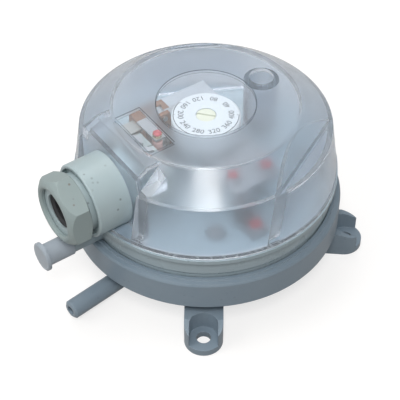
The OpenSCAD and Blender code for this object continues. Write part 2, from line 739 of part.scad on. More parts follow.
module case_screws() {
    color(steel) turned() for (a = case_screw_angles) rotate([0, 0, a])
        translate([case_screw_at, 0, rim_z])
        pan_screw(case_screw_d, case_screw_l - 2, case_head_d, case_head_t);
}

module cover_gasket() {
    r = foot_d/2 - 0.1;
    color(white) turned() translate([0, 0, rim_z]) difference() {
        union() {
            ring(r, r - 2.5, gasket_t);
            intersection() {
                cylinder(r = r, h = gasket_t);
                translate([0, 0, -rim_z]) beyond_front(cover_wall);
            }
        }
        translate([0, 0, -rim_z]) beyond_front(-gap);
    }
}

// Outer and inner form of the cover as bodies of revolution; t is how far inside the surface
module cover_form(t) {
    slope = (foot_d - shoulder_d)/2/(shoulder_z - foot_z - 1.4);
    side = t == 0 ? 0 : t/cos(atan(slope));
    cone = atan2(shoulder_drop, (shoulder_d - top_d)/2);
    lift = t*tan(cone/2);
    base = t == 0 ? foot_z + 1.4 : foot_z - 1;
    rotate_extrude() polygon([[0, base], [foot_d/2 - side, base], [shoulder_d/2 - t, shoulder_z - t*0.4],
        [top_d/2 - lift - 0.35, top_z - t - 0.15], [top_d/2 - lift - 0.9, top_z - t], [0, top_z - t]]);
}

// Room between the two sides of the gland's front, t outside them: upright, then closing in
module between_sides(t) {
    half = front_w/2 + t;
    rise = top_z + 4 - shoulder_z;
    rotate([90, 0, 0]) linear_extrude(height = far) polygon([[-half, 0], [half, 0], [half, shoulder_z],
        [half - front_lean*rise, top_z + 4], [front_lean*rise - half, top_z + 4], [-half, shoulder_z]]);
}

// Room in front of the gland's front, t inside the surface
module beyond_front(t) {
    intersection() {
        between_sides(t);
        translate([-far, -far - gland_flat + t, -1]) cube([2*far, far, 2*far]);
    }
}

// Block of the gland's front above the shoulder, t inside the surface, with its sloping roof
module front_block(t, depth) {
    intersection() {
        between_sides(-t);
        rotate([90, 0, 90]) translate([0, 0, -far/2]) linear_extrude(height = far) polygon([
            [-gland_flat + t, shoulder_z - 3], [-gland_flat + t, top_z - front_drop - 0.6*t],
            [-gland_flat + front_slope + 0.4*t, top_z - 0.3 - t], [-gland_flat + depth, top_z - 0.3 - t],
            [-gland_flat + depth, shoulder_z - 3]]);
    }
}

// Room beyond a side flat, t inside the surface, leaning in
module beyond_side_flat(t) {
    translate([side_flat, 0, shoulder_z]) rotate([0, -flat_lean, 0])
        translate([-t, -far, -far]) cube([far, 2*far, 2*far]);
}

// Hollow inside the cover: the main room, and the pockets outside the two side walls
module cover_hollow() {
    w = cover_wall;
    difference() {
        cover_form(w);
        beyond_front(w);
        // Webs that carry the front's two sides on below the cone
        intersection() {
            between_sides(w);
            translate([-far, -far - gland_flat + front_back, shoulder_z - 0.5]) cube([2*far, far, far]);
        }
        for (a = [side_angle, 180 - side_angle]) rotate([0, 0, a]) {
            translate([side_flat - w, -far, 0]) cube([far, 2*far, shoulder_z]);
            beyond_side_flat(w);
        }
    }
    front_block(w, front_back + 2);
    for (a = [side_angle, 180 - side_angle]) rotate([0, 0, a]) intersection() {
        cover_form(w);
        translate([side_flat, -far, 0]) cube([far, 2*far, shoulder_z - w]);
    }
}

// Flange at the cover's foot, with the ledge in front of the gland's flat
module cover_foot() {
    r = foot_d/2 + 0.2;
    translate([0, 0, foot_z]) difference() {
        union() {
            ring(r, r - 2.8, 1.5);
            intersection() {
                cylinder(r = r, h = 1.5);
                translate([0, 0, -foot_z]) beyond_front(cover_wall/2);
            }
        }
        outward(gland_rise) translate([0, 0, gland_flat + fit]) cylinder(d = collar_d + 2*play, h = 30);
    }
}

module cover() {
    color(clear) turned() difference() {
        union() {
            difference() {
                union() {
                    difference() {
                        cover_form(0);
                        beyond_front(0);
                        // Side flats, each with a level ledge at its foot
                        for (a = [side_angle, 180 - side_angle]) rotate([0, 0, a]) intersection() {
                            beyond_side_flat(0);
                            translate([0, -far, shoulder_z + 0.2]) cube([far, 2*far, far]);
                        }
                    }
                    front_block(0, front_back + 5);
                    cover_foot();
                }
                cover_hollow();
            }
            // Seat of the gland's locknut
            outward(gland_z) translate([0, 0, gland_seat])
                cylinder(r = gland_rise - 0.3, h = gland_flat - cover_wall + 0.2 - gland_seat);
            // Well of the cover screw
            translate([0, cover_screw_at, rim_z + cover_post_h + play])
                cylinder(r = well_d/2 + well_wall, h = top_z - rim_z - cover_post_h - play - 0.5);
        }
        translate([0, cover_screw_at, rim_z + cover_post_h + play + 1.6])
            cylinder(d = well_d, h = top_z);
        translate([0, cover_screw_at, 0]) cylinder(d = cover_screw_d + 2*gap, h = top_z);
        // Both clear windows lie a little below the frosted top
        translate([0, 0, top_z - 0.15]) cylinder(d = window_d, h = 1);
        translate([-slot_window_l/2, block_y - slot_window_w/2, top_z - 0.15])
            cube([slot_window_l, slot_window_w, 1]);
        outward(gland_z) cylinder(r = gland_thread_r + fit, h = 60);
    }
}

module cover_screw() {
    seat = rim_z + cover_post_h + play + 1.6 + fit;
    color(steel) turned() translate([0, cover_screw_at, seat]) difference() {
        union() {
            cylinder(d = well_d - 0.6, h = 2.6);
            translate([0, 0, -7.2]) cylinder(d = cover_screw_d, h = 7.3);
        }
        translate([0, 0, 2.6]) driver_slot(5, 1.1, 1.1);
    }
}

module gland_gasket() {
    color(rubber) turned() outward(gland_z) translate([0, 0, gland_flat + fit])
        ring(gland_thread_r + 1.4, gland_thread_r + fit, 0.5 - fit);
}

module gland_body() {
    r = collar_d/2;
    color(gland_grey) turned() outward(gland_z) rotate_extrude() polygon([
        [gland_bore_r, gland_back], [gland_thread_r, gland_back],
        [gland_thread_r, gland_flat + 0.5], [gland_thread_r + 1.6, gland_flat + 0.5],
        [gland_thread_r + 1.6, gland_flat + gap], [r, gland_flat + gap],
        [r, collar_end - 0.4], [r - 0.4, collar_end],
        [r - 1.1, collar_end], [r - 1.1, collar_end - 1.4], [neck_r, collar_end - 1.4],
        [neck_r, neck_end], [neck_r - 1.4, neck_end], [neck_r - 1.4, seal_back],
        [gland_bore_r, seal_back - 1.6]]);
}

module gland_locknut() {
    color(gland_grey) turned() outward(gland_z) translate([0, 0, gland_seat - locknut_t])
        difference() {
            cylinder(d = locknut_af/cos(30), h = locknut_t - fit, $fn = 6);
            translate([0, 0, -1]) cylinder(r = gland_thread_r + fit, h = locknut_t + 2);
        }
}

module gland_seal() {
    color(rubber) turned() outward(gland_z) rotate_extrude() polygon([
        [seal_bore/2, seal_back + 0.1], [neck_r - 2.2, seal_back + 0.1],
        [neck_r - 1.5, seal_back + 0.8], [neck_r - 1.5, neck_end - 0.2],
        [neck_r - 2.4, neck_end - 0.1], [seal_bore/2 + 0.8, neck_end - 0.1],
        [seal_bore/2, neck_end - 0.8]]);
}

module gland_washer() {
    color(gland_grey) turned() outward(gland_z) translate([0, 0, neck_end])
        ring(neck_r - 0.3, seal_bore/2 + 0.9, 0.7);
}

module gland_nut() {
    inner_end = neck_end + 0.7 + gap;
    color(gland_grey) turned() outward(gland_z) difference() {
        intersection() {
            translate([0, 0, nut_back]) rotate([0, 0, 30])
                cylinder(d = nut_af/cos(30), h = nut_front - nut_back, $fn = 6);
            rotate_extrude() polygon([[0, nut_back], [nut_af/2, nut_back], [nut_af/2 + 1.8, nut_back + 1],
                [nut_af/2 + 1.8, nut_front - 3], [nut_af/2 + 0.9, nut_front - 1.5],
                [nut_af/2 - 0.4, nut_front - 0.4], [nut_af/2 - 1.2, nut_front], [0, nut_front]]);
        }
        translate([0, 0, nut_back - 1]) cylinder(r = neck_r + fit, h = inner_end - nut_back + 1);
        cylinder(d = nut_bore, h = nut_front + 1);
        translate([0, 0, nut_front - 0.5]) cylinder(d1 = nut_bore, d2 = nut_bore + 1.2, h = 0.6);
    }
}

module hose_cap() {
    tip = p2_reach + 0.2;
    color([0.86, 0.88, 0.90]) turned() outward(p2_z) rotate_extrude() polygon([
        [pipe_d/2 + fit, tip - cap_over], [cap_d/2 - 0.2, tip - cap_over], [cap_d/2, tip - cap_over + 0.2],
        [cap_d/2, tip - 0.2], [cap_head_d/2, tip + 0.2], [cap_head_d/2, tip + 1.1],
        [cap_head_d/2 - 0.4, tip + 1.4], [0, tip + 1.4], [0, tip], [pipe_d/2 - 0.5, tip],
        [pipe_d/2 + fit, tip - 0.5]]);
}

lower_body();
upper_body();
diaphragm();
diaphragm_washer();
diaphragm_plate();
tappet();
tappet_seal();
range_spring();
spring_seat();
spindle();
spindle_seal();
setting_knob();
knob_screw();
bearing_bracket();
bracket_screws();
seal_drops();
switch_case();
switch_screws();
switch_button();
switch_lever();
adjusting_screw();
adjuster_seal();
lever_pin();
terminal_block();
contact_strip(0);  // contact_strip_1
contact_strip(1);  // contact_strip_2
contact_strip(2);  // contact_strip_3
terminal_screw(0);  // terminal_screw_1
terminal_screw(1);  // terminal_screw_2
terminal_screw(2);  // terminal_screw_3
case_screws();
cover_gasket();
cover();
cover_screw();
gland_gasket();
gland_body();
gland_locknut();
gland_seal();
gland_washer();
gland_nut();
hose_cap();
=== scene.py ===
"""Looks of the air pressure switch: finishes, printed dial, range spring, studio and camera."""

import json
import logging
import math
from dataclasses import dataclass, field
from enum import Enum
from typing import Sequence

import bpy
import numpy as np
from mathutils import Matrix, Vector


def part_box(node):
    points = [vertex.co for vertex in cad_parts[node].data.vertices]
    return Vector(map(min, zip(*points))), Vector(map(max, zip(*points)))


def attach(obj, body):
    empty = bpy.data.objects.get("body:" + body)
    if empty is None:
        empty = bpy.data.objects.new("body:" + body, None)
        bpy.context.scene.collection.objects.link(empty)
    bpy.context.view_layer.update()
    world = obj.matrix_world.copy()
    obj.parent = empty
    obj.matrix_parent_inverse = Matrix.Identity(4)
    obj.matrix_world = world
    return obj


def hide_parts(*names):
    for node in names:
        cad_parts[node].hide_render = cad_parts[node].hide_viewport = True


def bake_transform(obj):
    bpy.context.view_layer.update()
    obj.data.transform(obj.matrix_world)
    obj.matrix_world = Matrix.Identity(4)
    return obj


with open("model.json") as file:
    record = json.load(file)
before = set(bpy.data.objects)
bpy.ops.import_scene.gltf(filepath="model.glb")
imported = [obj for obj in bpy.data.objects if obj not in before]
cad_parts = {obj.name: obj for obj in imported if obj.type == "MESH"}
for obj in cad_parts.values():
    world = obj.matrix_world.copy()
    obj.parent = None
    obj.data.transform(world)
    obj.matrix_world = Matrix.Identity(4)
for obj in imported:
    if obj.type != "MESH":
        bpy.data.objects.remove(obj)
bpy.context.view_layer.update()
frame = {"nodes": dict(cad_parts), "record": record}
LOG = logging.getLogger("switch")
MM = 0.001
# The upper half, with its mechanism, is turned this far about +Z
UPPER_TURN = math.radians(-7.0)

Colour = tuple[float, float, float]
Point = tuple[float, float, float]
Socket = bpy.types.NodeSocket


# Geometry


def add_object(name: str, data: bpy.types.ID) -> bpy.types.Object:
    """Makes an object of its data and links it to the scene.

    Args:
        name: Name of the object.
        data: A mesh, text, camera or light.

    Returns:
        The object, at the origin.
    """
    made = bpy.data.objects.new(name, data)
    bpy.context.scene.collection.objects.link(made)
    return made


def grid_faces(rows: int, columns: int) -> list[list[int]]:
    """Quads over a grid of points whose rows are closed rings, with a face at each end.

    A quad joins a point to the next of its ring and to the same two points of the next ring.

    Args:
        rows: Number of rings.
        columns: Number of points in a ring.

    Returns:
        Faces as indices into the flattened grid, the two end faces last.
    """
    i, j = np.meshgrid(np.arange(rows - 1), np.arange(columns), indexing="ij")
    here, beside = i * columns + j, i * columns + (j + 1) % columns
    quads = np.stack([here, here + columns, beside + columns, beside], -1).reshape(-1, 4)
    first = np.arange(columns)
    return [*quads.tolist(), first.tolist(), (first + (rows - 1) * columns)[::-1].tolist()]


def mesh_object(name: str, points: np.ndarray, faces: Sequence[Sequence[int]]) -> bpy.types.Object:
    """Makes a flat-shaded object at the origin.

    Args:
        name: Name of the piece.
        points: Array of shape (..., 3), in metres, in the row frame.
        faces: Indices of each face's points.

    Returns:
        The new object.
    """
    mesh = bpy.data.meshes.new(name)
    mesh.from_pydata(points.reshape(-1, 3).tolist(), [], faces)
    mesh.update()
    return add_object(name, mesh)


def text_mesh(name: str, words: str, size: float, height: float, place: Matrix) -> bpy.types.Object:
    """Makes thin raised figures as a mesh, with their place in the mesh.

    Args:
        name: Name of the piece.
        words: The figures to write.
        size: Height of a line, in metres.
        height: Thickness of the print, in metres.
        place: Where the text's centre goes.

    Returns:
        A mesh object at the origin.
    """
    curve = bpy.data.curves.new(name, "FONT")
    curve.body = words
    curve.size = size
    curve.extrude = height / 2
    curve.resolution_u = 4
    curve.align_x = "CENTER"
    curve.align_y = "CENTER"
    holder = add_object(name, curve)
    bpy.context.view_layer.update()
    graph = bpy.context.evaluated_depsgraph_get()
    mesh = bpy.data.meshes.new_from_object(holder.evaluated_get(graph))
    bpy.data.objects.remove(holder)
    mesh.transform(place)
    mesh.name = name
    return add_object(name, mesh)


def join(name: str, parts: Sequence[bpy.types.Object]) -> bpy.types.Object:
    """Joins mesh objects that sit at the origin into one piece.

    Args:
        name: Name of the joined piece.
        parts: The objects to join; they are removed.

    Returns:
        The joined object.
    """
    points, faces, start = [], [], 0
    for part in parts:
        mesh = part.data
        flat = np.empty(len(mesh.vertices) * 3)
        mesh.vertices.foreach_get("co", flat)
        points.append(flat.reshape(-1, 3))
        faces.extend([[v + start for v in polygon.vertices] for polygon in mesh.polygons])
        start += len(mesh.vertices)
        bpy.data.objects.remove(part)
    return mesh_object(name, np.vstack(points), faces)


# Shared shader groups


class Graph:
    """Node tree with short calls for making and joining nodes."""

    def __init__(self, tree: bpy.types.NodeTree) -> None:
        """Keeps the tree that nodes go into.

        Args:
            tree: A material's, world's or group's node tree.
        """
        self.tree = tree

    def node(self, kind: str, **settings: object) -> bpy.types.Node:
        """Adds a node and sets its properties.

        Args:
            kind: Blender's name of the node type.
            **settings: Properties of the node.

        Returns:
            The new node.
        """
        made = self.tree.nodes.new(kind)
        for key, value in settings.items():
            setattr(made, key, value)
        return made

    def standing(self, kind: str) -> bpy.types.Node:
        """Gives the tree's own node of a type, such as its shader or its output."""
        return next(n for n in self.tree.nodes if n.type == kind)

    def join(self, source: Socket, target: Socket) -> None:
        """Links an output to an input."""
        self.tree.links.new(source, target)

    def feed(self, target: Socket, value: object) -> None:
        """Links a socket, or sets a plain value.

        Args:
            target: Input to fill.
            value: An output socket, a number, or a colour.
        """
        if isinstance(value, bpy.types.NodeSocket):
            self.join(value, target)
        elif isinstance(value, tuple) and len(value) == 3 and target.type == "RGBA":
            target.default_value = (*value, 1.0)
        else:
            target.default_value = value

    def where(self) -> Socket:
        """Gives Object coordinates."""
        return self.node("ShaderNodeTexCoord").outputs["Object"]

    def seen(self) -> tuple[Socket, Socket]:
        """Tells rays that look at something or through clear plastic from mirrored ones.

        Returns:
            1 for a camera or transmission ray, and 1 for a glossy ray.
        """
        path = self.node("ShaderNodeLightPath").outputs
        straight = self.math("MAXIMUM", path["Is Camera Ray"], path["Is Transmission Ray"])
        return straight, path["Is Glossy Ray"]

    def noise(self, where: Socket, scale: float, detail: float, rough: float = 0.5) -> Socket:
        """Adds a noise texture and gives its factor.

        Args:
            where: Coordinates to read.
            scale: Scale in features per metre.
            detail: Octaves of detail.
            rough: Weight of the finer octaves.

        Returns:
            The noise's factor, from 0 to 1.
        """
        made = self.node("ShaderNodeTexNoise")
        self.join(where, made.inputs["Vector"])
        made.inputs["Scale"].default_value = scale
        made.inputs["Detail"].default_value = detail
        made.inputs["Roughness"].default_value = rough
        return made.outputs["Fac"]

    def cells(self, scale: Socket, feature: str) -> Socket:
        """Adds a Voronoi texture on Object coordinates.

        Args:
            scale: Cells per metre.
            feature: Blender's name of the feature.

        Returns:
            The distance to the cell's point.
        """
        made = self.node("ShaderNodeTexVoronoi", feature=feature)
        self.join(self.where(), made.inputs["Vector"])
        self.join(scale, made.inputs["Scale"])
        return made.outputs["Distance"]

    def math(self, operation: str, *values: object, clamp: bool = False) -> Socket:
        """Adds a Math node.

        Args:
            operation: Blender's name of the operation.
            *values: Sockets or numbers, in order.
            clamp: Keeps the result between 0 and 1.

        Returns:
            The result.
        """
        made = self.node("ShaderNodeMath", operation=operation, use_clamp=clamp)
        for slot, value in zip(made.inputs, values):
            self.feed(slot, value)
        return made.outputs[0]

    def spread(
        self, value: Socket, low: float, high: float, to_low: float, to_high: float
    ) -> Socket:
        """Maps a range to another and clamps it.

        Args:
            value: What to map.
            low: Value that becomes to_low.
            high: Value that becomes to_high.
            to_low: Result at low.
            to_high: Result at high.

        Returns:
            The mapped value.
        """
        made = self.node("ShaderNodeMapRange", clamp=True)
        self.join(value, made.inputs["Value"])
        ends = {"From Min": low, "From Max": high, "To Min": to_low, "To Max": to_high}
        for key, number in ends.items():
            made.inputs[key].default_value = number
        return made.outputs[0]

    def scaled(self, colour: object, factor: Socket) -> Socket:
        """Multiplies a colour by a factor.

        Args:
            colour: Colour or socket.
            factor: What each channel is multiplied by.

        Returns:
            The product.
        """
        made = self.node("ShaderNodeVectorMath", operation="SCALE")
        self.feed(made.inputs[0], colour)
        self.join(factor, made.inputs["Scale"])
        return made.outputs[0]

    def mix(self, share: object, first: object, second: object) -> Socket:
        """Mixes two colours.

        Args:
            share: Share of the second, from 0 to 1.
            first: Colour or socket.
            second: Colour or socket.

        Returns:
            The mixed colour.
        """
        made = self.node("ShaderNodeMix", data_type="RGBA")
        self.feed(made.inputs["Factor"], share)
        self.feed(made.inputs["A"], first)
        self.feed(made.inputs["B"], second)
        return made.outputs["Result"]

    def mix_value(self, share: Socket, first: Socket, second: float) -> Socket:
        """Mixes a value with a number.

        Args:
            share: Share of the number, from 0 to 1.
            first: The value.
            second: The number.

        Returns:
            The mixed value.
        """
        made = self.node("ShaderNodeMix", data_type="FLOAT")
        self.join(share, made.inputs["Factor"])
        self.join(first, made.inputs["A"])
        made.inputs["B"].default_value = second
        return made.outputs["Result"]


def node_material(name: str) -> tuple[bpy.types.Material, Graph, bpy.types.Node]:
    """Starts a node material.

    Args:
        name: Name of the material.

    Returns:
        The material, its graph and its Principled shader.
    """
    material = bpy.data.materials.new(name)
    material.use_nodes = True
    g = Graph(material.node_tree)
    return material, g, g.standing("BSDF_PRINCIPLED")


@dataclass
class Effects:
    """Shader groups that several finishes share. Sizes are in features per metre.

    Attributes:
        drift: Broad and fine drift of a moulding's colour.
        drift_share: Shares of the two.
        unevenness: Soft unevenness between the grains of a mould.
        smudges: Handled patches.
        drawn: Stretch of drawing lines along X and across.
        rubbed: Patches of rubbed edges.
        dirt: Patches that specks gather in.
    """

    drift: tuple[float, float] = (45.0, 420.0)
    drift_share: tuple[float, float] = (0.65, 0.35)
    unevenness: float = 1500.0
    smudges: float = 90.0
    drawn: tuple[float, float, float] = (120.0, 2600.0, 2600.0)
    rubbed: float = 260.0
    dirt: float = 130.0

    def __post_init__(self) -> None:
        """Builds every group once."""
        self.mottle = self._mottle()
        self.grain = self._grain()
        self.handling = self._handling()
        self.brushed = self._brushed()
        self.edge_rub = self._edge_rub()
        self.specks = self._specks()

    @staticmethod
    def _group(
        name: str, inputs: dict[str, float | Colour], outputs: dict[str, str]
    ) -> tuple[bpy.types.NodeTree, Graph, bpy.types.Node, bpy.types.Node]:
        """Makes an empty group with named sockets.

        Args:
            name: Name of the group.
            inputs: Default of each input; a number or a colour tells its type.
            outputs: Kind of each output, Float or Color.

        Returns:
            The group's node tree, its graph, and its input and output nodes.
        """
        tree = bpy.data.node_groups.new(name, "ShaderNodeTree")
        for label, default in inputs.items():
            coloured = isinstance(default, tuple)
            kind = "NodeSocketColor" if coloured else "NodeSocketFloat"
            made = tree.interface.new_socket(label, in_out="INPUT", socket_type=kind)
            made.default_value = (*default, 1.0) if coloured else default
        for label, kind in outputs.items():
            tree.interface.new_socket(label, in_out="OUTPUT", socket_type="NodeSocket" + kind)
        g = Graph(tree)
        return tree, g, g.node("NodeGroupInput"), g.node("NodeGroupOutput")

    def _mottle(self) -> bpy.types.NodeTree:
        """Colour that drifts a little over a moulding, from two sizes of noise.

        Returns:
            The group.
        """
        inputs = {"Colour": (0.5, 0.5, 0.5), "Amount": 0.1}
        tree, g, start, end = self._group("mottle", inputs, {"Colour": "Color"})
        where = g.where()
        broad = g.math("MULTIPLY", g.noise(where, self.drift[0], 3.0), self.drift_share[0])
        fine = g.math("MULTIPLY", g.noise(where, self.drift[1], 4.0), self.drift_share[1])
        off_mean = g.math("SUBTRACT", g.math("ADD", broad, fine), 0.5)
        factor = g.math("ADD", g.math("MULTIPLY", off_mean, start.outputs["Amount"]), 1.0)
        g.join(g.scaled(start.outputs["Colour"], factor), end.inputs["Colour"])
        return tree

    def _grain(self) -> bpy.types.NodeTree:
        """Height of a spark-eroded mould's fine grain.

        Returns:
            The group.
        """
        tree, g, start, end = self._group("mould_grain", {"Scale": 3000.0}, {"Height": "Float"})
        cells = g.cells(start.outputs["Scale"], "SMOOTH_F1")
        soft = g.math("MULTIPLY", g.noise(g.where(), self.unevenness, 2.0), 0.6)
        g.join(g.math("ADD", cells, soft), end.inputs["Height"])
        return tree

    def _handling(self) -> bpy.types.NodeTree:
        """Roughness with rubbed and smudged patches, and a mask of them.

        Returns:
            The group.
        """
        inputs = {"Roughness": 0.5, "Amount": 0.1}
        outputs = {"Roughness": "Float", "Smudge": "Float"}
        tree, g, start, end = self._group("handling", inputs, outputs)
        patches = g.spread(g.noise(g.where(), self.smudges, 5.0, 0.6), 0.42, 0.68, 0.0, 1.0)
        g.join(patches, end.inputs["Smudge"])
        shift = g.math("MULTIPLY", g.math("SUBTRACT", patches, 0.4), start.outputs["Amount"])
        rough = g.math("ADD", start.outputs["Roughness"], shift, clamp=True)
        g.join(rough, end.inputs["Roughness"])
        return tree

    def _brushed(self) -> bpy.types.NodeTree:
        """Height and tone of fine parallel drawing lines along X.

        Returns:
            The group.
        """
        outputs = {"Height": "Float", "Tone": "Float"}
        tree, g, start, end = self._group("drawn_lines", {"Tone": 0.1}, outputs)
        stretch = g.node("ShaderNodeMapping")
        stretch.inputs["Scale"].default_value = self.drawn
        g.join(g.where(), stretch.inputs["Vector"])
        lines = g.noise(stretch.outputs["Vector"], 1.0, 3.0)
        g.join(lines, end.inputs["Height"])
        shift = g.math("MULTIPLY", g.math("SUBTRACT", lines, 0.5), start.outputs["Tone"])
        g.join(g.math("ADD", shift, 1.0), end.inputs["Tone"])
        return tree

    def _edge_rub(self) -> bpy.types.NodeTree:
        """Patchy mask of rubbed edges, from how far a rounded normal leans away from the face.

        Returns:
            The group.
        """
        inputs = {"Lean": 0.0, "Amount": 0.3}
        tree, g, start, end = self._group("edge_rub", inputs, {"Mask": "Float"})
        edge = g.spread(start.outputs["Lean"], 0.02, 0.25, 0.0, 1.0)
        patchy = g.spread(g.noise(g.where(), self.rubbed, 4.0, 0.6), 0.35, 0.65, 0.25, 1.0)
        mask = g.math("MULTIPLY", g.math("MULTIPLY", edge, patchy), start.outputs["Amount"])
        g.join(mask, end.inputs["Mask"])
        return tree

    def _specks(self) -> bpy.types.NodeTree:
        """Mask of small pits and specks of dirt that gather in patches.

        Returns:
            The group.
        """
        inputs = {"Scale": 420.0, "Amount": 0.3}
        tree, g, start, end = self._group("specks", inputs, {"Mask": "Float"})
        dots = g.spread(g.cells(start.outputs["Scale"], "F1"), 0.10, 0.20, 1.0, 0.0)
        patches = g.spread(g.noise(g.where(), self.dirt, 3.0), 0.50, 0.62, 0.0, 1.0)
        mask = g.math("MULTIPLY", g.math("MULTIPLY", dots, patches), start.outputs["Amount"])
        g.join(mask, end.inputs["Mask"])
        return tree


# Finishes


@dataclass(frozen=True)
class Finish:
    """A finish that builds one material.

    Attributes:
        name: Name of the material.
        colour: Linear base colour.
        roughness: Mean roughness.
        handled: Drift of the roughness where it is handled.
    """

    name: str
    colour: Colour
    roughness: float = 0.45
    handled: float = 0.12

    @staticmethod
    def upper_parts(g: Graph) -> tuple[Socket, Socket, Socket]:
        """Object coordinates in the upper half's own frame.

        Args:
            g: The material's graph.

        Returns:
            The x, y and z sockets.
        """
        turned = g.node("ShaderNodeMapping")
        turned.inputs["Rotation"].default_value = (0.0, 0.0, -UPPER_TURN)
        g.join(g.where(), turned.inputs["Vector"])
        parts = g.node("ShaderNodeSeparateXYZ")
        g.join(turned.outputs["Vector"], parts.inputs[0])
        return tuple(parts.outputs)

    @staticmethod
    def place(g: Graph, tree: bpy.types.NodeTree, **values: object) -> bpy.types.Node:
        """Puts a shared group into a material.

        Args:
            g: The material's graph.
            tree: The group.
            **values: Inputs of the group by name.

        Returns:
            The group's node.
        """
        made = g.node("ShaderNodeGroup", node_tree=tree)
        for key, value in values.items():
            g.feed(made.inputs[key], value)
        return made

    def rubbed(self, g: Graph, effects: Effects) -> tuple[Socket, Socket]:
        """Roughness and mask of the handled patches.

        Args:
            g: The material's graph.
            effects: The shared groups.

        Returns:
            The roughness and the mask.
        """
        made = self.place(g, effects.handling, Roughness=self.roughness, Amount=self.handled)
        return made.outputs["Roughness"], made.outputs["Smudge"]

    @staticmethod
    def bump(
        g: Graph,
        shader: bpy.types.Node,
        height: Socket,
        distance: float,
        under: Socket | None = None,
    ) -> None:
        """Feeds a height to the shader's normal.

        Args:
            g: The material's graph.
            shader: The Principled shader.
            height: Height from 0 to 1.
            distance: Height of 1, in metres.
            under: Normal that the height is added to.
        """
        made = g.node("ShaderNodeBump")
        if under is not None:
            g.join(under, made.inputs["Normal"])
        made.inputs["Distance"].default_value = distance
        g.join(height, made.inputs["Height"])
        g.join(made.outputs["Normal"], shader.inputs["Normal"])

    def build(self, effects: Effects) -> bpy.types.Material:
        """Builds the material.

        Args:
            effects: The shared groups.

        Returns:
            The material.
        """
        material, g, shader = node_material(self.name)
        self.dress(g, shader, effects)
        return material

    def dress(self, g: Graph, shader: bpy.types.Node, effects: Effects) -> None:
        """Fills the material's graph; each kind of finish has its own.

        Args:
            g: The material's graph.
            shader: The Principled shader.
            effects: The shared groups.
        """
        raise NotImplementedError


@dataclass(frozen=True)
class MouldedPlastic(Finish):
    """Opaque moulded plastic with a fine grain and handled patches.

    Attributes:
        mottle: Drift of the colour, as a share.
        grain: Height of the grain, in metres.
        grain_scale: Grains per metre.
        specular: Specular level.
        dust: Colour of what settles on it.
        dust_share: How much of it settles on handled patches.
        rub: How strongly edges are rubbed lighter.
        worn: Factor and lift that make a rubbed edge lighter.
        specks: How strongly pits and specks show.
        speck_colour: Colour of the specks.
        edge: Radius that edges look rounded to, in metres.
    """

    mottle: float = 0.10
    grain: float = 0.012 * MM
    grain_scale: float = 3200.0
    specular: float = 0.5
    dust: Colour = (0.55, 0.55, 0.53)
    dust_share: float = 0.05
    rub: float = 0.35
    worn: tuple[float, float] = (1.5, 0.05)
    specks: float = 0.15
    speck_colour: Colour = (0.06, 0.055, 0.05)
    edge: float = 0.22 * MM

    def tint(self, g: Graph) -> Colour | Socket:
        """Gives the base colour before dust and specks.

        Args:
            g: The material's graph.

        Returns:
            A colour, or the socket of one.
        """
        return self.colour

    def dress(self, g: Graph, shader: bpy.types.Node, effects: Effects) -> None:
        """Lays dust, rubbed edges and specks over the colour, and grain on rounded edges.

        Args:
            g: The material's graph.
            shader: The Principled shader.
            effects: The shared groups.
        """
        colour = self.place(g, effects.mottle, Colour=self.tint(g), Amount=self.mottle)
        rough, smudge = self.rubbed(g, effects)
        settled = g.math("MULTIPLY", smudge, self.dust_share)
        dusty = g.mix(settled, colour.outputs["Colour"], self.dust)
        rounded = g.node("ShaderNodeBevel", samples=6)
        rounded.inputs["Radius"].default_value = self.edge
        along = g.node("ShaderNodeVectorMath", operation="DOT_PRODUCT")
        g.join(rounded.outputs["Normal"], along.inputs[0])
        g.join(g.node("ShaderNodeNewGeometry").outputs["Normal"], along.inputs[1])
        lean = g.math("SUBTRACT", 1.0, along.outputs["Value"])
        edges = self.place(g, effects.edge_rub, Lean=lean, Amount=self.rub)
        factor, lift = self.worn
        lighter = tuple(min(1.0, c * factor + lift) for c in self.colour)
        worn = g.mix(edges.outputs["Mask"], dusty, lighter)
        dots = self.place(g, effects.specks, Amount=self.specks).outputs["Mask"]
        g.join(g.mix(dots, worn, self.speck_colour), shader.inputs["Base Color"])
        g.join(rough, shader.inputs["Roughness"])
        shader.inputs["Specular IOR Level"].default_value = self.specular
        grain = self.place(g, effects.grain, Scale=self.grain_scale)
        height = g.math("SUBTRACT", grain.outputs["Height"], dots)
        self.bump(g, shader, height, self.grain, under=rounded.outputs["Normal"])


@dataclass(frozen=True)
class TwoToneCase(MouldedPlastic):
    """Snap switch's case: a brown base and near end, and a pale lid.

    Attributes:
        lid: Colour of the lid.
        lid_z: Height of the joint between them, in metres.
        lid_y: Where the lid ends, in the upper half's frame.
    """

    lid: Colour = (0.40, 0.44, 0.48)
    lid_z: float = 38.0 * MM
    lid_y: float = -2.6 * MM

    def tint(self, g: Graph) -> Socket:
        """Pale on the lid, brown elsewhere.

        Args:
            g: The material's graph.

        Returns:
            The colour.
        """
        _, y, z = self.upper_parts(g)
        above = g.math("GREATER_THAN", z, self.lid_z)
        on_lid = g.math("MULTIPLY", above, g.math("GREATER_THAN", y, self.lid_y))
        return g.mix(on_lid, self.colour, self.lid)


@dataclass(frozen=True)
class PlatedSheet(Finish):
    """Plated or bright metal with drawing lines.

    Attributes:
        tone: Drift of the colour along the lines.
        line_depth: Depth of the lines, in metres.
    """

    handled: float = 0.15
    tone: float = 0.12
    line_depth: float = 0.004 * MM

    def dress(self, g: Graph, shader: bpy.types.Node, effects: Effects) -> None:
        """Draws the lines in colour and height, and handles the surface.

        Args:
            g: The material's graph.
            shader: The Principled shader.
            effects: The shared groups.
        """
        lines = self.place(g, effects.brushed, Tone=self.tone)
        g.join(g.scaled(self.colour, lines.outputs["Tone"]), shader.inputs["Base Color"])
        g.join(self.rubbed(g, effects)[0], shader.inputs["Roughness"])
        shader.inputs["Metallic"].default_value = 1.0
        self.bump(g, shader, lines.outputs["Height"], self.line_depth)


